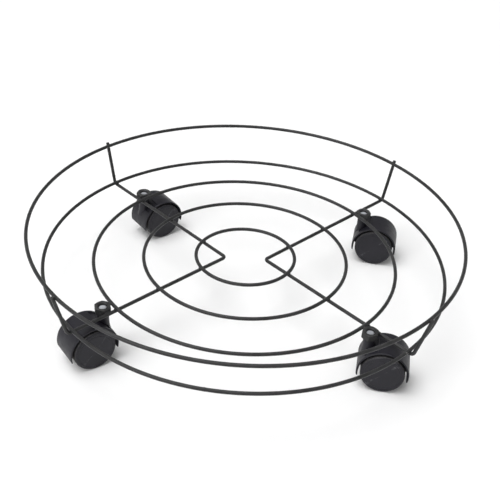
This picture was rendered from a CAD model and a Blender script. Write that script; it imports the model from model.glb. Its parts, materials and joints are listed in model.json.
"""Looks for the plant pot caddy: welded wires, weld nuts, threaded stems, moulded hoods and wheels.

Lengths in the shape code are millimetres; mesh_object turns them into metres. Casters are built once,
in a frame whose origin is on the floor under the stem and whose +X is the way the caster trails.
"""
import json
import math

import bmesh
import bpy
from mathutils import Matrix, Vector, noise


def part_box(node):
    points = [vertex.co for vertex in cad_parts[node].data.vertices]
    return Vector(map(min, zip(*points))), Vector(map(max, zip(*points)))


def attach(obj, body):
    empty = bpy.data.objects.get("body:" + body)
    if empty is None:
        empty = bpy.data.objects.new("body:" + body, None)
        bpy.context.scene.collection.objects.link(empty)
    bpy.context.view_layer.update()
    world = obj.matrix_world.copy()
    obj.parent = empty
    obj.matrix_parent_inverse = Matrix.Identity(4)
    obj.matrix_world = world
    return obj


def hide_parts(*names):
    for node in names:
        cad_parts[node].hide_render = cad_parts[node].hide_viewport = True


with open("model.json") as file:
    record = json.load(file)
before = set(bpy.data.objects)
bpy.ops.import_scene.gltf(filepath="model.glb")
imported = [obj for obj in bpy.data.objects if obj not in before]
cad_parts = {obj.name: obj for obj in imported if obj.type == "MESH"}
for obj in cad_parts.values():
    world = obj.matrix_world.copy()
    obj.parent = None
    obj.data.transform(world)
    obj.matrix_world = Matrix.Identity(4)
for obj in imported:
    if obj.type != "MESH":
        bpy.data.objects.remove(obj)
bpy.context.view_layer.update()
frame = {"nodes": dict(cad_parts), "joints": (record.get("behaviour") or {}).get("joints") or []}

MM = 0.001
TAU = 2 * math.pi
CORNERS = ("back_right", "back_left", "front_left", "front_right")
JOINTS = {j["name"]: j for j in frame["joints"]}

# the wire frame, from the same values as the part's source
LEG_ANGLE = math.radians(45.5)
APEX_X = 19.5
APEX_BEND_R = 4.0
UPRIGHT_BEND_R = 5.0
NUT_AF = 14.0
NUT_H = 6.5
NUT_Z = 48.0
THREAD_R = 4.0
THREAD_PITCH = 1.25
THREAD_DEPTH = 0.55
SPIGOT_R = 3.0
FLANGE_R = 5.6
STEM_TOP_Z = 52.7

# the casters
WHEEL_R = 20.0
WHEEL_OUTER = 16.2
WHEEL_INNER = 6.1
TRAIL = 16.0
HOOD_R = 23.6
HOOD_HALF = 15.2
HOOD_WALL = 2.2
NECK_R = 5.5
NECK_TOP_Z = 46.6


# ---------------------------------------------------------------- materials

class Nodes:
    """Builds one node material, adding and linking nodes by keyword."""

    def __init__(self, name):
        self.mat = bpy.data.materials.new(name)
        self.mat.use_nodes = True
        self.tree = self.mat.node_tree
        self.bsdf = self.tree.nodes["Principled BSDF"]

    def add(self, kind, inputs=None, **props):
        n = self.tree.nodes.new(kind)
        for k, v in props.items():
            setattr(n, k, v)
        for k, v in (inputs or {}).items():
            self.put(n.inputs[k], v)
        return n

    def put(self, socket, value):
        if isinstance(value, bpy.types.NodeSocket):
            self.tree.links.new(value, socket)
        else:
            socket.default_value = value

    def noise(self, coords, scale, detail=3.0, rough=0.5, distortion=0.0):
        inputs = {"Vector": coords, "Scale": scale, "Detail": detail, "Roughness": rough}
        inputs["Distortion"] = distortion
        return self.add("ShaderNodeTexNoise", inputs).outputs["Fac"]

    def ramp(self, value, lo, hi, out_lo=0.0, out_hi=1.0):
        inputs = {"Value": value, "From Min": lo, "From Max": hi, "To Min": out_lo, "To Max": out_hi}
        return self.add("ShaderNodeMapRange", inputs).outputs["Result"]

    def math(self, op, a, b=0.0, clamp=False):
        n = self.add("ShaderNodeMath", {0: a, 1: b}, operation=op, use_clamp=clamp)
        return n.outputs[0]

    def mix(self, fac, a, b):
        n = self.add("ShaderNodeMix", {"Factor": fac}, data_type="RGBA")
        self.put(n.inputs[6], a)
        self.put(n.inputs[7], b)
        return n.outputs[2]

    def coords(self):
        """Object coordinates, shifted by each object's own random number so that copies don't repeat."""
        own = self.math("MULTIPLY", self.add("ShaderNodeObjectInfo").outputs["Random"], 3.0)
        at = self.add("ShaderNodeTexCoord").outputs["Object"]
        shift = self.add("ShaderNodeVectorMath", {0: at, 1: own}, operation="ADD")
        return shift.outputs[0]

    def split(self, vector):
        return self.add("ShaderNodeSeparateXYZ", {0: vector}).outputs

    def from_axis(self, first, second):
        """Distance from an axis of the object, in the plane of the two named directions."""
        at = self.split(self.add("ShaderNodeTexCoord").outputs["Object"])
        squares = [self.math("POWER", at[name], 2.0) for name in (first, second)]
        return self.math("SQRT", self.math("ADD", *squares))

    def bump(self, height, strength, distance, normal=None):
        inputs = {"Height": height, "Strength": strength, "Distance": distance}
        if normal is not None:
            inputs["Normal"] = normal
        return self.add("ShaderNodeBump", inputs).outputs["Normal"]


# colours of wear and plating
DUST = (0.10, 0.098, 0.095, 1)
BARE_METAL = (0.22, 0.215, 0.21, 1)
ZINC_DULL = (0.50, 0.52, 0.56, 1)
ZINC_BRIGHT = (0.73, 0.75, 0.79, 1)
ZINC_PIT = (0.40, 0.40, 0.41, 1)
SCUFF_MARK = (0.07, 0.07, 0.08, 1)
WORN_EDGE = (0.12, 0.12, 0.128, 1)
TREAD_GRIT = (0.13, 0.125, 0.118, 1)
FLOOR_LOW = (0.90, 0.90, 0.90, 1)
FLOOR_HIGH = (0.915, 0.915, 0.915, 1)
# radians of turned line for each metre out from the stem's axis
TURNED_LINES = 21000.0
# the tread's dust begins and is full at these radii, in metres
TREAD_START, TREAD_FULL = 0.0193, 0.0199
PLASTIC_DARK, PLASTIC_LIGHT = 0.0085, 0.0125


def grey(v, blue=0.0):
    return (v, v, v + blue, 1.0)


def tint(v):
    """Black plastic's slight violet."""
    return (1.02 * v, 0.96 * v, 1.42 * v, 1.0)


def wire_material():
    """Dark satin powder coat: orange peel, faint cloudiness, dust on the upper sides, a few chips."""
    m = Nodes("powder_coat")
    at = m.coords()
    cloud = m.noise(at, 45, 4, 0.6)
    speck = m.noise(at, 1500, 2, 0.6)
    base = m.mix(m.ramp(cloud, 0.35, 0.65), grey(0.0135), grey(0.021, 0.0012))
    base = m.mix(m.ramp(speck, 0.55, 0.75, 0.0, 0.35), base, grey(0.042))
    up = m.split(m.add("ShaderNodeNewGeometry").outputs["Normal"])["Z"]
    patches = m.ramp(m.noise(at, 130, 5, 0.65), 0.42, 0.75, 0.0, 0.30)
    dusty = m.math("MULTIPLY", m.ramp(up, 0.35, 1.0), patches)
    base = m.mix(dusty, base, DUST)
    spots = m.ramp(m.noise(at, 520, 2, 0.4), 0.735, 0.76)
    chips = m.math("MULTIPLY", spots, m.ramp(m.noise(at, 28, 2, 0.5), 0.52, 0.6))
    base = m.mix(chips, base, BARE_METAL)
    m.put(m.bsdf.inputs["Base Color"], base)
    rough = m.ramp(m.noise(at, 210, 4, 0.6), 0.3, 0.7, 0.36, 0.52)
    rough = m.math("ADD", rough, m.math("MULTIPLY", dusty, 0.5), clamp=True)
    m.put(m.bsdf.inputs["Roughness"], rough)
    m.put(m.bsdf.inputs["Specular IOR Level"], 0.34)
    peel = m.bump(m.noise(at, 1100, 2, 0.5), 0.22, 0.00012)
    lumps = m.bump(m.noise(at, 260, 3, 0.5), 0.25, 0.0002, peel)
    m.put(m.bsdf.inputs["Normal"], m.bump(chips, 0.4, 0.0001, lumps))
    return m.mat


def zinc_material():
    """Bright zinc plate: turned lines, cloudy passivation and darker pits."""
    m = Nodes("zinc_plate")
    at = m.coords()
    cloud = m.noise(at, 160, 4, 0.6)
    base = m.mix(m.ramp(cloud, 0.35, 0.68), ZINC_DULL, ZINC_BRIGHT)
    pits = m.ramp(m.noise(at, 900, 3, 0.6), 0.62, 0.72)
    base = m.mix(pits, base, ZINC_PIT)
    m.put(m.bsdf.inputs["Base Color"], base)
    m.put(m.bsdf.inputs["Metallic"], 0.73)
    m.put(m.bsdf.inputs["Roughness"], m.ramp(m.noise(at, 340, 4, 0.6), 0.3, 0.7, 0.26, 0.46))
    lines = m.math("SINE", m.math("MULTIPLY", m.from_axis("X", "Y"), TURNED_LINES))
    turned = m.bump(lines, 0.10, 0.00003)
    m.put(m.bsdf.inputs["Normal"], m.bump(pits, 0.35, 0.00006, turned))
    return m.mat


def plastic_material(name, dark, light, tread=False):
    """Moulded black plastic: spark-eroded grain, handling scuffs and, on wheels, a dusty scuffed tread."""
    m = Nodes(name)
    at = m.coords()
    cloud = m.noise(at, 70, 4, 0.6)
    base = m.mix(m.ramp(cloud, 0.32, 0.68), tint(dark), tint(light))
    # scuffs are noise drawn out in one slanting direction
    slant = {"Vector": at, "Rotation": (0.3, 0.5, 0.8), "Scale": (1.0, 9.0, 2.5)}
    stretched = m.add("ShaderNodeMapping", slant).outputs["Vector"]
    scuff = m.ramp(m.noise(stretched, 620, 4, 0.6, 0.5), 0.60, 0.76)
    scuff = m.math("MULTIPLY", scuff, m.ramp(m.noise(at, 55, 2, 0.5), 0.45, 0.65))
    base = m.mix(m.math("MULTIPLY", scuff, 0.14), base, SCUFF_MARK)
    edge = m.ramp(m.add("ShaderNodeNewGeometry").outputs["Pointiness"], 0.53, 0.60)
    worn = m.math("MULTIPLY", edge, m.ramp(m.noise(at, 420, 3, 0.6), 0.42, 0.66, 0.0, 0.45))
    base = m.mix(worn, base, WORN_EDGE)
    rough = m.ramp(m.noise(at, 190, 5, 0.6), 0.3, 0.7, 0.40, 0.54)
    if tread:
        rolled = m.ramp(m.from_axis("X", "Z"), TREAD_START, TREAD_FULL)
        grit = m.math("MULTIPLY", rolled, m.ramp(m.noise(at, 700, 4, 0.7), 0.38, 0.7, 0.0, 0.75))
        base = m.mix(grit, base, TREAD_GRIT)
        rough = m.math("ADD", rough, m.math("MULTIPLY", rolled, 0.2), clamp=True)
    m.put(m.bsdf.inputs["Base Color"], base)
    m.put(m.bsdf.inputs["Roughness"], m.math("SUBTRACT", rough, m.math("MULTIPLY", scuff, 0.08)))
    m.put(m.bsdf.inputs["Specular IOR Level"], 0.33)
    grain = m.bump(m.noise(at, 2400, 2, 0.5), 0.20, 0.00006)
    m.put(m.bsdf.inputs["Normal"], m.bump(scuff, 0.15, 0.00004, grain))
    return m.mat


WIRE = wire_material()
ZINC = zinc_material()
HOOD = plastic_material("hood_plastic", PLASTIC_DARK, PLASTIC_LIGHT)
WHEEL = plastic_material("wheel_plastic", PLASTIC_DARK, PLASTIC_LIGHT, tread=True)


# ---------------------------------------------------------------- shapes

def mesh_object(name, verts, faces, material, sharp_deg=38.0):
    """A mesh object from millimetre vertices, smooth but for edges sharper than sharp_deg."""
    bm = bmesh.new()
    vs = [bm.verts.new(Vector(v) * MM) for v in verts]
    for f in faces:
        bm.faces.new([vs[i] for i in f])
    bmesh.ops.recalc_face_normals(bm, faces=bm.faces)
    return finish_mesh(name, bm, material, sharp_deg)


def finish_mesh(name, bm, material, sharp_deg):
    bm.normal_update()
    limit = math.radians(sharp_deg)
    for f in bm.faces:
        f.smooth = True
    for e in bm.edges:
        e.smooth = e.calc_face_angle(0.0) < limit
    me = bpy.data.meshes.new(name)
    bm.to_mesh(me)
    bm.free()
    me.materials.append(material)
    ob = bpy.data.objects.new(name, me)
    bpy.context.scene.collection.objects.link(ob)
    return ob


def mesh_of(ob):
    """Takes an object's mesh and removes the object."""
    me = ob.data
    bpy.data.objects.remove(ob)
    return me


def grid(rows, closed_rows=False):
    """A tube of point rows, each a closed loop of as many points; its ends are capped unless it closes."""
    n = len(rows[0])
    verts = [p for row in rows for p in row]
    faces = []
    last = len(rows) if closed_rows else len(rows) - 1
    for i in range(last):
        a, b = i * n, ((i + 1) % len(rows)) * n
        for k in range(n):
            k2 = (k + 1) % n
            faces.append((a + k, a + k2, b + k2, b + k))
    if not closed_rows:
        faces.append(tuple(range(n))[::-1])
        faces.append(tuple((len(rows) - 1) * n + k for k in range(n)))
    return verts, faces


def tube(path, radii, sides=24, closed=False):
    """Rows of points round a path, carried along it without twisting."""
    pts = [Vector(p) for p in path]
    count = len(pts)
    tangents = []
    for i in range(count):
        a = pts[i - 1] if closed or i else pts[i]
        b = pts[(i + 1) % count] if closed or i < count - 1 else pts[i]
        tangents.append((b - a).normalized())
    side = tangents[0].cross(Vector((0, 0, 1)))
    if side.length < 1e-4:
        side = Vector((1, 0, 0))
    side.normalize()
    angles = [TAU * k / sides for k in range(sides)]
    rows = []
    for i in range(count):
        t = tangents[i]
        side = (side - t * side.dot(t)).normalized()
        up = t.cross(side)
        rows.append([pts[i] + radii[i] * (math.cos(a) * side + math.sin(a) * up) for a in angles])
    return grid(rows, closed_rows=closed)


def lathe(profile, segments, radius_at=None):
    """A closed profile of (radius, height) points turned about Z. Points on the axis are one vertex."""
    verts, faces, index = [], [], []
    for r, z in profile:
        if r < 1e-6:
            index.append([len(verts)] * segments)
            verts.append((0, 0, z))
            continue
        index.append([len(verts) + k for k in range(segments)])
        for k in range(segments):
            a = TAU * k / segments
            q = radius_at(r, z, a) if radius_at else r
            verts.append((q * math.cos(a), q * math.sin(a), z))
    for i in range(len(profile)):
        j = (i + 1) % len(profile)
        if profile[i][0] < 1e-6 and profile[j][0] < 1e-6:
            continue
        for k in range(segments):
            k2 = (k + 1) % segments
            quad = [index[i][k], index[i][k2], index[j][k2], index[j][k]]
            face = [v for n, v in enumerate(quad) if v not in quad[:n]]
            if len(face) > 2:
                faces.append(face)
    return verts, faces


def rounded(points, radius, steps=4):
    """A closed outline with each corner rounded; a point may carry its own radius as a third value."""
    out = []
    n = len(points)
    for i, p in enumerate(points):
        r = p[2] if len(p) > 2 else radius
        here = Vector(p[:2])
        a, b = Vector(points[i - 1][:2]) - here, Vector(points[(i + 1) % n][:2]) - here
        if r <= 0 or a.length < 1e-9 or b.length < 1e-9:
            out.append(tuple(here))
            continue
        half = a.angle(b) / 2
        cut = min(r / math.tan(half), 0.45 * a.length, 0.45 * b.length) if half < 1.56 else 0
        if cut < 1e-4:
            out.append(tuple(here))
            continue
        start, end = here + a.normalized() * cut, here + b.normalized() * cut
        for s in range(steps + 1):
            t = s / steps
            q = (1 - t) ** 2 * start + 2 * t * (1 - t) * here + t * t * end
            out.append(tuple(q))
    return out


def moved(shape, matrix):
    verts, faces = shape
    return [matrix @ Vector(v) for v in verts], faces


def merged(shapes):
    verts, faces = [], []
    for v, f in shapes:
        base = len(verts)
        verts += list(v)
        faces += [tuple(base + i for i in face) for face in f]
    return verts, faces


def combine(base, others, operation):
    """Adds or cuts other objects from base with exact booleans, and removes them."""
    for other in others:
        mod = base.modifiers.new("bool", "BOOLEAN")
        mod.operation = operation
        mod.solver = "EXACT"
        mod.object = other
    bpy.context.view_layer.update()
    dg = bpy.context.evaluated_depsgraph_get()
    me = bpy.data.meshes.new_from_object(base.evaluated_get(dg))
    base.modifiers.clear()
    base.data = me
    for other in others:
        bpy.data.objects.remove(other)
    return base


# ---------------------------------------------------------------- wires

def node_box(name):
    lo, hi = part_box(name)
    return lo / MM, hi / MM


def ring_values(name):
    """(centre-line radius, height, wire radius) of a ring, from its CAD box."""
    lo, hi = node_box(name)
    wire_r = (hi.z - lo.z) / 2
    return (hi.x - lo.x) / 2 - wire_r, (hi.z + lo.z) / 2, wire_r


RING_STEPS = 288
# a butt weld: how far either side of the joint it is drawn finely, its width and its height
BEAD_REACH, BEAD_STEPS, BEAD_W, BEAD_H = 7.0, 14, 0.9, 0.16


def ring_wire(name, joint_deg):
    """A hoop with the small swelling where its ends were butt welded and dressed."""
    radius, z, wire_r = ring_values(name)
    joint = math.radians(joint_deg)
    near = BEAD_REACH / radius
    angles = {round(TAU * k / RING_STEPS, 6) for k in range(RING_STEPS)}
    angles |= {round((joint + near * (k / BEAD_STEPS - 1)) % TAU, 6) for k in range(2 * BEAD_STEPS + 1)}
    path, radii = [], []
    for a in sorted(angles):
        away = abs((a - joint + math.pi) % TAU - math.pi) * radius
        uneven = 0.8 + 0.4 * noise.noise(Vector((away * 2, radius, 0)))
        bead = BEAD_H * math.exp(-(away / BEAD_W) ** 2) * uneven
        path.append((radius * math.cos(a), radius * math.sin(a), z))
        radii.append(wire_r * (1 + bead * 0.6))
    shape = tube(path, radii, 24, closed=True)
    ob = mesh_object(name + "_wire", *shape, WIRE)
    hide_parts(name)
    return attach(ob, "frame")


RIM_R, RIM_Z, WIRE_R = ring_values("rim_ring")
BASE_RINGS = ["base_ring_1", "base_ring_2", "base_ring_3", "base_ring_4"]
BASE_R = [ring_values(n)[0] for n in BASE_RINGS]
RING_Z = ring_values("base_ring_1")[1]
LEG_Z = node_box("v_wire_right")[0].z + WIRE_R
WELD_SET = LEG_Z + 2 * WIRE_R - RING_Z

for ring_name, ring_joint in zip(["rim_ring"] + BASE_RINGS, (97, 262, 12, 168, 335)):
    ring_wire(ring_name, ring_joint)


def leg_reach(radius, offset=0.0):
    start = APEX_X * math.cos(LEG_ANGLE)
    square = APEX_X ** 2 + offset * (offset - 2 * APEX_X * math.sin(LEG_ANGLE))
    return -start + math.sqrt(start ** 2 - square + radius ** 2)


BEND_AT = leg_reach(BASE_R[0])
RIM_TOUCH = leg_reach(RIM_R + 2 * WIRE_R - WELD_SET)
RUN, RISE = RIM_TOUCH - BEND_AT, RIM_Z - LEG_Z - UPRIGHT_BEND_R
SLOPE = math.atan2(RISE, RUN) + math.asin(UPRIGHT_BEND_R / math.hypot(RUN, RISE))
WIRE_TOP_Z = node_box("v_wire_right")[1].z
LEG_STEPS = 26
BEND_STEPS = 12
# the rounding of a wire's cut end: (distance back from the end, share of the wire's radius)
WIRE_END = ((0.55, 1.0), (0.3, 0.97), (0.14, 0.9), (0.05, 0.8), (0.0, 0.66))
END_BELOW_TOP = 0.05


def leg_point(side, s, reach, z):
    """A point over a leg's centre line; side is +1 for the right V wire, s picks the leg."""
    x = APEX_X + reach * math.cos(LEG_ANGLE)
    return Vector((side * x, s * reach * math.sin(LEG_ANGLE), z))


def leg_path():
    """((reach, height), share of the radius) along a leg, from the V's point to the upright's end."""
    out = []
    start = APEX_BEND_R / math.tan(LEG_ANGLE)
    for k in range(LEG_STEPS + 1):
        out.append((start + (BEND_AT - start) * k / LEG_STEPS, LEG_Z))
    for k in range(1, BEND_STEPS + 1):
        a = SLOPE * k / BEND_STEPS
        out.append((BEND_AT + UPRIGHT_BEND_R * math.sin(a), LEG_Z + UPRIGHT_BEND_R * (1 - math.cos(a))))
    top = Vector(out[-1])
    along = Vector((math.cos(SLOPE), math.sin(SLOPE)))
    length = (WIRE_TOP_Z - END_BELOW_TOP - top.y - WIRE_R * math.cos(SLOPE)) / math.sin(SLOPE)
    for k in range(1, 10):
        out.append(tuple(top + along * length * k / 10))
    end = [(tuple(top + along * (length - back)), share) for back, share in WIRE_END]
    return [(p, 1.0) for p in out] + end


def v_wire(name, side):
    leg = leg_path()
    path, radii = [], []
    for p, share in reversed(leg):
        path.append(leg_point(side, -1, *p))
        radii.append(WIRE_R * share)
    middle = APEX_X + APEX_BEND_R / math.sin(LEG_ANGLE)
    sweep = math.pi - 2 * LEG_ANGLE
    for k in range(1, BEND_STEPS):
        a = math.pi + sweep / 2 - sweep * k / BEND_STEPS
        path.append(Vector((side * (middle + APEX_BEND_R * math.cos(a)), APEX_BEND_R * math.sin(a), LEG_Z)))
        radii.append(WIRE_R)
    for p, share in leg:
        path.append(leg_point(side, 1, *p))
        radii.append(WIRE_R * share)
    ob = mesh_object(name + "_bent", *tube(path, radii, 24), WIRE, sharp_deg=50)
    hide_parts(name)
    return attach(ob, "frame")


v_wire("v_wire_right", 1)
v_wire("v_wire_left", -1)


# half sizes of each kind of weld, along, across and up
CROSSING_WELD = (2.1, 1.9, 1.0)
RIM_WELD = (1.0, 1.9, 2.0)
NUT_WELD_HIGH = (3.1, 1.1, 0.85)
NUT_WELD_LOW = (2.6, 1.0, 0.8)
NUT_RING_WELD = (1.2, 2.3, 0.95)
RIM_WELD_IN = 0.1
# how uneven the beads at the nuts are
NUT_LUMPS = 0.3


def nugget(size, seed, turn, at, lumps=0.16):
    """A squeezed-out weld: a subdivided ball pushed about by noise and flattened between the wires."""
    bm = bmesh.new()
    bmesh.ops.create_icosphere(bm, subdivisions=3, radius=1.0)
    place = Matrix.Translation(at) @ Matrix.Rotation(turn, 4, "Z")
    for v in bm.verts:
        d = v.co.normalized()
        broad = noise.noise(d * 1.8 + Vector((seed * 3.7, seed, 0)))
        fine = noise.noise(d * 5 + Vector((seed, 0, 9)))
        v.co = d * (1 + lumps * broad + 0.3 * lumps * fine)
        v.co = place @ Vector((v.co.x * size[0], v.co.y * size[1], v.co.z * size[2]))
    verts = [v.co.copy() for v in bm.verts]
    faces = [tuple(v.index for v in f.verts) for f in bm.faces]
    bm.free()
    return verts, faces


def all_welds():
    shapes, seed = [], 1
    for side in (1, -1):
        for s in (1, -1):
            turn = side * s * LEG_ANGLE
            for radius in BASE_R:
                at = leg_point(side, s, leg_reach(radius), LEG_Z + WIRE_R - WELD_SET / 2)
                shapes.append(nugget(CROSSING_WELD, seed, turn, at))
                seed += 1
            touch = leg_point(side, s, leg_reach(RIM_R), RIM_Z)
            outward = Vector((touch.x, touch.y, 0)).normalized()
            at = outward * (RIM_R + WIRE_R - RIM_WELD_IN) + Vector((0, 0, RIM_Z))
            shapes.append(nugget(RIM_WELD, seed, math.atan2(outward.y, outward.x), at))
            seed += 1
    return shapes


# ---------------------------------------------------------------- nuts and stems

def hex_nut():
    """A hexagon with softened corners and rounded-off ends, and the mouth of its thread."""
    corner = NUT_AF / 2 / math.cos(math.pi / 6)
    chamfer, face_r, softened, mouth_r = 0.95, 6.75, 0.16, 6.0
    widest = corner + 0.2

    def radius_at(r, z, a):
        if r < mouth_r:
            return r
        flat = min(NUT_AF / 2 / math.cos((a % (math.pi / 3)) - math.pi / 6), corner - softened)
        end = min(1.0, min(z, NUT_H - z) / chamfer)
        limit = widest - (widest - face_r) * (1 - end) ** 1.6
        return min(flat, limit)

    levels = [0.0, 0.03, 0.08, 0.15, 0.24, 0.34, 0.46, 0.6, 0.76, 0.95, 1.5, 3.25]
    outer = [(NUT_AF / 2, z) for z in levels] + [(NUT_AF / 2, NUT_H - z) for z in reversed(levels[:-1])]
    mouth = [(5.6, 0.0), (4.95, 0.0), (4.8, 0.05), (4.15, 0.72), (4.0, 0.9), (3.82, 1.25)]
    top = [(r, NUT_H - z) for r, z in mouth]
    return lathe(outer + top + mouth[::-1], 144, radius_at)


def threaded_stem():
    """Thread in the nut, flange, and the plain spigot with its groove."""
    top = STEM_TOP_Z

    def radius_at(r, z, a):
        if z < NUT_Z + 0.05 or r < SPIGOT_R:
            return r
        phase = (z / THREAD_PITCH - a / TAU) % 1.0
        depth = THREAD_DEPTH * abs(2 * phase - 1)
        return min(r, THREAD_R) - depth * min(1.0, (top - z) / 0.3 + 0.2)

    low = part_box("stem_front_left")[0].z / MM
    lead_in = [(0, low), (2.1, low), (2.6, low + 0.12), (2.88, low + 0.4), (SPIGOT_R, low + 0.8)]
    groove = [(SPIGOT_R, 39.95), (2.6, 40.0), (2.6, 41.2), (SPIGOT_R, 41.25)]
    flange = [(SPIGOT_R, 46.85), (5.3, 46.9), (5.52, 47.0), (FLANGE_R, 47.2), (FLANGE_R, 47.7),
              (5.52, 47.9), (5.3, NUT_Z), (4.1, NUT_Z)]
    thread = []
    z = NUT_Z + 0.1
    while z < top - 0.75:
        thread.append((THREAD_R, z))
        z += 0.12
    # the end is rounded over and slightly dished
    end = [(3.8, 0.62), (3.5, 0.36), (3.2, 0.15), (2.95, 0.03), (2.7, 0), (2.3, 0.06), (1.2, 0.22), (0, 0.26)]
    profile = lead_in + groove + flange + thread + [(r, top - down) for r, down in end]
    return lathe(profile, 64, radius_at)


# ---------------------------------------------------------------- casters

def smooth_step(x):
    x = max(0.0, min(1.0, x))
    return x * x * (3 - 2 * x)


LIP_IN = 1.2
LIP_FROM, LIP_W = 13.0, 2.2
TIP_LOW = -5.4
# the inside of the tips follows a circle dropped below the axle, which thins them
TIP_DROP, TIP_R = 3.2, 21.85
RIM_ROUND = 0.7
WEB_BOTTOM = -3.4
WEB_R = 22.2
WEB_HALF = 2.5
WEB_EDGE = 0.25
BORE_R = 3.05
GRIP_SPACE_R = 3.45
AXLE_HOLE_R = 2.45
BOSS_R, BOSS_HALF = 6.5, 5.5
FILLET_LOW, FILLET_H, FILLET_OUT = 27.5, 12.0, 1.5
AXLE_PLACE = Matrix.Translation((TRAIL, 0, WHEEL_R)) @ Matrix.Rotation(math.radians(90), 4, "X")
PANEL_START, PANEL_END, PANEL_HALF, PANEL_DEPTH = 107.0, 139.0, 12.4, 1.3


def hood_shell():
    """The curved cover over the wheels, with rounded rims and the sunken panel between its two rim strips."""
    low = math.asin(TIP_LOW / HOOD_R)
    inside = HOOD_R - HOOD_WALL
    steps = 96
    angles = {low + (math.pi - 2 * low) * k / steps for k in range(steps + 1)}
    for deg in (PANEL_START, PANEL_END):
        angles |= {math.radians(deg + d) for d in (-1.5, -1.0, -0.5, 0.0, 0.5, 1.0, 1.5)}
    for d in (0.3, 0.8, 1.5, 2.4):
        angles |= {low + math.radians(d), math.pi - low - math.radians(d)}
    rows = []
    corner = RIM_ROUND
    for a in sorted(angles):
        deg = math.degrees(a)
        along = min(deg - PANEL_START, PANEL_END - deg) * math.radians(1) * HOOD_R
        from_tip = min(a - low, math.pi - low - a) * HOOD_R
        thin = -TIP_DROP * math.sin(a) + math.sqrt(TIP_R ** 2 - (TIP_DROP * math.cos(a)) ** 2)
        r_in = max(inside, thin)
        row = []
        places = [-HOOD_HALF + corner * (1 - math.cos(math.radians(d))) for d in (0, 22, 45, 68, 90)]
        places += [-13.6, -13.0, -12.7, -12.4, -12.1, -11.8, -11.4, -10.5, -8, -5.5, -3, -1]
        places += [-p for p in reversed(places)]
        for y in places:
            edge = HOOD_HALF - abs(y)
            drop = corner - math.sqrt(max(0.0, corner ** 2 - (corner - min(edge, corner)) ** 2))
            drop = min(drop, (HOOD_R - max(r_in, inside + LIP_IN)) * 0.6)
            across = PANEL_HALF - abs(y)
            sink = PANEL_DEPTH * smooth_step(along / 0.7 + 0.5) * smooth_step(across / 0.7 + 0.5)
            tip = 0.25 * (1 - min(1.0, from_tip / 0.8)) ** 2
            row.append((y, HOOD_R - drop - sink - tip))
        across_inside = (HOOD_HALF, 14.6, 14.0, 13.4, LIP_FROM, 10, 5)
        for y in across_inside + (0,) + tuple(-p for p in reversed(across_inside)):
            lip = inside + LIP_IN * smooth_step((abs(y) - LIP_FROM) / LIP_W)
            row.append((y, max(r_in, lip)))
        rows.append([Vector((TRAIL + r * math.cos(a), y, WHEEL_R + r * math.sin(a))) for y, r in row])
    return grid(rows)


def hood_web():
    """The flat wall inside the hood, between the wheels."""
    low, steps = math.asin(WEB_BOTTOM / WEB_R), 60
    angles = [low + (math.pi - 2 * low) * k / steps for k in range(steps + 1)]
    outline = [(TRAIL + WEB_R * math.cos(a), WHEEL_R + WEB_R * math.sin(a)) for a in angles]
    flat = WEB_HALF - WEB_EDGE
    rows = []
    for y, shrink in ((-WEB_HALF, WEB_EDGE), (-flat, 0.0), (flat, 0.0), (WEB_HALF, WEB_EDGE)):
        scale = 1 - shrink / WEB_R
        row = [(TRAIL + (x - TRAIL) * scale, y, z + (shrink if z < WHEEL_R else 0)) for x, z in outline]
        rows.append([Vector(p) for p in row])
    return grid(rows)


def hood_core():
    """The neck that stands up round the stem, with a rounded rim."""
    foot, top = 17.0, NECK_TOP_Z
    return lathe(rounded([(0, foot, 0), (NECK_R, foot, 0.3), (NECK_R, top, 0.75), (0, top, 0)], 0.5, 6), 96)


def hood_boss():
    """The boss that holds the axle pin."""
    outline = [(0, -BOSS_HALF, 0), (BOSS_R, -BOSS_HALF, 0.5), (BOSS_R, BOSS_HALF, 0.5), (0, BOSS_HALF, 0)]
    return moved(lathe(rounded(outline, 0.5, 4), 64), AXLE_PLACE)


def hood_fillet():
    """A moulded swelling that blends the neck into the back of the hood."""
    rows, steps = [], 8
    angles = [TAU * n / 64 for n in range(64)]
    for k in range(steps + 1):
        t = k / steps
        z = FILLET_LOW + t * FILLET_H
        r = NECK_R + FILLET_OUT * (1 - t) ** 2.2
        rows.append([Vector((r * math.cos(a), r * math.sin(a), z)) for a in angles])
    return grid(rows)


def hood_mesh():
    """The hood's pieces joined, with the stem's bore and the axle's hole cut out."""
    shell = mesh_object("hood_shell", *hood_shell(), HOOD)
    parts = [mesh_object("part", *s, HOOD) for s in (hood_web(), hood_core(), hood_boss(), hood_fillet())]
    combine(shell, parts, "UNION")
    bore = rounded([
        (0, 26.0, 0), (BORE_R, 26.0, 0.3),
        (BORE_R, 39.9, 0), (GRIP_SPACE_R, 39.9, 0), (GRIP_SPACE_R, 41.3, 0), (BORE_R, 41.3, 0),
        (BORE_R, 46.2, 0), (GRIP_SPACE_R, 46.7, 0), (0, 46.8, 0)], 0.0)
    pin = moved(lathe([(0, -8), (AXLE_HOLE_R, -8), (AXLE_HOLE_R, 8), (0, 8)], 64), AXLE_PLACE)
    cuts = [mesh_object("cut", *s, HOOD) for s in (lathe(bore, 64), pin)]
    combine(shell, cuts, "DIFFERENCE")
    bm = bmesh.new()
    bm.from_mesh(shell.data)
    bmesh.ops.remove_doubles(bm, verts=bm.verts, dist=1e-6)
    bmesh.ops.dissolve_degenerate(bm, edges=bm.edges, dist=1e-6)
    bpy.data.objects.remove(shell)
    return bm


RIBS = 6
RIB_IN, RIB_OUT, RIB_W = 4.8, 17.4, 1.4


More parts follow.
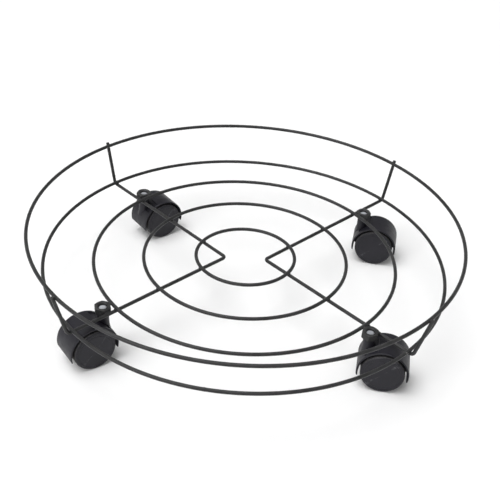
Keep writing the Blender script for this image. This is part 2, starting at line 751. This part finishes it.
def wheel_mesh():
    """A cup-shaped wheel about its axle (+Y outwards): crowned tread, ringed face, hub and ribs."""
    o, i = WHEEL_OUTER, WHEEL_INNER
    back = o - 1.8
    crown = WHEEL_R - 0.05
    face = [(0, o, 0), (2.1, o, 0), (2.5, o, 0.1), (15.7, o, 0.15), (15.95, o - 0.22, 0.1),
            (16.45, o - 0.22, 0.1), (16.7, o, 0.15), (17.9, o, 0.1), (18.05, o - 0.14, 0.05),
            (18.25, o - 0.14, 0.05), (18.4, o, 0.1), (18.9, o, 1.0)]
    tread = [(crown, o - 1.15, 1.0), (WHEEL_R, o - 3.2, 6.0), (WHEEL_R, i + 2.0, 4.0), (crown, i, 0.6)]
    hollow = [(17.3, i, 0.4), (17.2, back, 0.8), (5.5, back, 0.8), (5.2, i, 0.4)]
    hub = [(2.75, i, 0.15), (2.56, i + 0.3, 0.1), (2.56, back, 0.1), (0, back, 0)]
    body = lathe(rounded(face + tread + hollow + hub, 0.3, 4), 112)
    shapes = [moved(body, Matrix.Rotation(math.radians(-90), 4, "X"))]
    rib_low, rib_high = i + 1.6, back + 0.3
    length = RIB_OUT - RIB_IN
    place = Matrix.Translation((RIB_IN + length / 2, (rib_low + rib_high) / 2, 0))
    size = Matrix.Diagonal((length, rib_high - rib_low, RIB_W, 1))
    bm = bmesh.new()
    for k in range(RIBS):
        before = set(bm.verts)
        bmesh.ops.create_cube(bm, size=1.0)
        fresh = [v for v in bm.verts if v not in before]
        bmesh.ops.transform(bm, matrix=Matrix.Rotation(TAU * k / RIBS, 4, "Y") @ place @ size, verts=fresh)
    bmesh.ops.bevel(bm, geom=list(bm.edges), offset=0.25, segments=2, affect="EDGES")
    bm.verts.index_update()
    shapes.append(([v.co.copy() for v in bm.verts], [tuple(v.index for v in f.verts) for f in bm.faces]))
    bm.free()
    return merged(shapes)


def new_object(name, mesh, matrix, body, node):
    """One more object of a shared mesh, in place of a CAD node and riding on a body."""
    ob = bpy.data.objects.new(name, mesh)
    bpy.context.scene.collection.objects.link(ob)
    ob.matrix_world = matrix
    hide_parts(node)
    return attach(ob, body)


nut_me = mesh_of(mesh_object("nut", *hex_nut(), WIRE, 30))
stem_me = mesh_of(mesh_object("stem", *threaded_stem(), ZINC, 60))
wheel_me = mesh_of(mesh_object("wheel", *wheel_mesh(), WHEEL, 38))
hood_me = mesh_of(finish_mesh("hood", hood_mesh(), HOOD, 34))

welds = all_welds()
for n, corner in enumerate(CORNERS):
    swivel = Vector(JOINTS["swivel_" + corner]["pos_m"])
    axle = Vector(JOINTS["roll_a_" + corner]["pos_m"])
    turn = math.atan2(axle.y - swivel.y, axle.x - swivel.x)
    stand = Matrix.Translation((swivel.x, swivel.y, 0))
    caster = stand @ Matrix.Rotation(turn, 4, "Z")
    sx, sy = (1 if swivel.x > 0 else -1), (1 if swivel.y > 0 else -1)
    nut_turn = Matrix.Rotation(sx * sy * LEG_ANGLE, 4, "Z")
    nut_at = stand @ Matrix.Translation((0, 0, NUT_Z * MM)) @ nut_turn
    new_object("nut_" + corner, nut_me, nut_at, "frame", "weld_nut_" + corner)
    new_object("threaded_stem_" + corner, stem_me, stand, "frame", "stem_" + corner)
    rider = "caster_" + corner
    new_object("moulded_hood_" + corner, hood_me, caster, rider, "hood_" + corner)
    hub = caster @ Matrix.Translation((TRAIL * MM, 0, WHEEL_R * MM))
    for letter, half_turn in (("a", math.pi), ("b", 0.0)):
        at = hub @ Matrix.Rotation(half_turn, 4, "Z")
        wheel = f"wheel_{letter}_{corner}"
        new_object("moulded_" + wheel, wheel_me, at, wheel + "_body", wheel)
    # beads where the nut meets its leg and the second base ring
    centre = swivel / MM
    inward = -1 if n in (0, 2) else 1
    along = Vector((sx * math.cos(LEG_ANGLE), sy * math.sin(LEG_ANGLE), 0))
    across = Vector((sx * inward * math.sin(LEG_ANGLE), -sy * inward * math.cos(LEG_ANGLE), 0))
    angle = math.atan2(along.y, along.x)
    flat = centre + across * (NUT_AF / 2 + 0.05)
    for size, first_seed, up in ((NUT_WELD_HIGH, 40, 1.35), (NUT_WELD_LOW, 50, -1.2)):
        at = Vector((flat.x, flat.y, LEG_Z + up))
        welds.append(nugget(size, first_seed + n, angle, at, NUT_LUMPS))
    to_ring = Vector((centre.x, centre.y, 0)).normalized()
    ring_at = to_ring * (BASE_R[1] + WIRE_R * 0.7)
    at = Vector((ring_at.x, ring_at.y, RING_Z + 0.4))
    welds.append(nugget(NUT_RING_WELD, 60 + n, math.atan2(to_ring.y, to_ring.x), at, NUT_LUMPS))

weld_ob = mesh_object("weld_nuggets", *merged(welds), WIRE, 60)
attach(weld_ob, "frame")

# the CAD nodes that stay as they are
for node_name, node in frame["nodes"].items():
    if node_name.startswith(("axle_", "grip_ring_")):
        node.data.materials.clear()
        node.data.materials.append(ZINC)


# ---------------------------------------------------------------- floor, light and camera

FLOOR_HALF = 40000.0


def floor():
    """A wide white floor."""
    m = Nodes("floor")
    m.put(m.bsdf.inputs["Base Color"], m.mix(m.noise(m.coords(), 3, 2), FLOOR_LOW, FLOOR_HIGH))
    m.put(m.bsdf.inputs["Roughness"], 0.7)
    m.put(m.bsdf.inputs["Specular IOR Level"], 0.2)
    # clear from below, so that the underside can be seen
    below = m.add("ShaderNodeNewGeometry").outputs["Backfacing"]
    clear = m.add("ShaderNodeBsdfTransparent").outputs[0]
    swap = m.add("ShaderNodeMixShader", {0: below, 1: m.bsdf.outputs[0], 2: clear})
    m.put(m.tree.nodes["Material Output"].inputs["Surface"], swap.outputs[0])
    corners = [(x * FLOOR_HALF, y * FLOOR_HALF, 0) for x, y in ((-1, -1), (1, -1), (1, 1), (-1, 1))]
    ob = mesh_object("floor", corners, [(0, 1, 2, 3)], m.mat)


def light(name, kind, at, aim, **values):
    """A light at one point, turned towards another."""
    data = bpy.data.lights.new(name, kind)
    for key, value in values.items():
        setattr(data, key, value)
    ob = bpy.data.objects.new(name, data)
    bpy.context.scene.collection.objects.link(ob)
    ob.location = at
    ob.rotation_mode = "QUATERNION"
    ob.rotation_quaternion = (Vector(aim) - Vector(at)).to_track_quat("-Z", "Y")


floor()
light("key", "SUN", (0, 0, 0), (0.30, 0.12, -1.0), energy=2.5, angle=math.radians(50))
light("fill", "AREA", (-1.3, -1.2, 0.9), (0, 0, 0.03), shape="DISK", size=0.8, energy=9)
world = bpy.data.worlds.new("studio")
world.use_nodes = True
sky = world.node_tree
height = sky.nodes.new("ShaderNodeSeparateXYZ")
fade = sky.nodes.new("ShaderNodeMapRange")
# pale at the horizon, dimmer overhead, so that black surfaces keep their depth
for key_name, value in (("From Min", 0.05), ("From Max", 0.22), ("To Min", 0.95), ("To Max", 0.36)):
    fade.inputs[key_name].default_value = value
sky.links.new(sky.nodes.new("ShaderNodeTexCoord").outputs["Generated"], height.inputs[0])
sky.links.new(height.outputs["Z"], fade.inputs["Value"])
sky.links.new(fade.outputs["Result"], sky.nodes["Background"].inputs["Strength"])
sky.nodes["Background"].inputs["Color"].default_value = (1, 1, 1, 1)
bpy.context.scene.world = world

# the view: its turn, height and roll, and the point on the base rings' plane it looks at
AZ, EL, ROLL = math.radians(-0.715), math.radians(33.875), math.radians(3.948)
AIM = Vector((0.00427, 0.01064, RING_Z * MM))
DISTANCE = 0.8606
back = Vector((math.sin(AZ) * math.cos(EL), -math.cos(AZ) * math.cos(EL), math.sin(EL)))
level = Vector((math.cos(AZ), math.sin(AZ), 0))
rise = back.cross(level)
right = math.cos(ROLL) * level + math.sin(ROLL) * rise
upward = -math.sin(ROLL) * level + math.cos(ROLL) * rise
cam_data = bpy.data.cameras.new("camera")
cam_data.lens = 62.21
cam_data.sensor_width = 36
cam_data.clip_start, cam_data.clip_end = 0.05, 50
camera = bpy.data.objects.new("camera", cam_data)
bpy.context.scene.collection.objects.link(camera)
facing = Matrix((right, upward, back)).transposed().to_4x4()
camera.matrix_world = Matrix.Translation(AIM + back * DISTANCE) @ facing
bpy.context.scene.camera = camera
bpy.context.scene.view_settings.view_transform = "Standard"
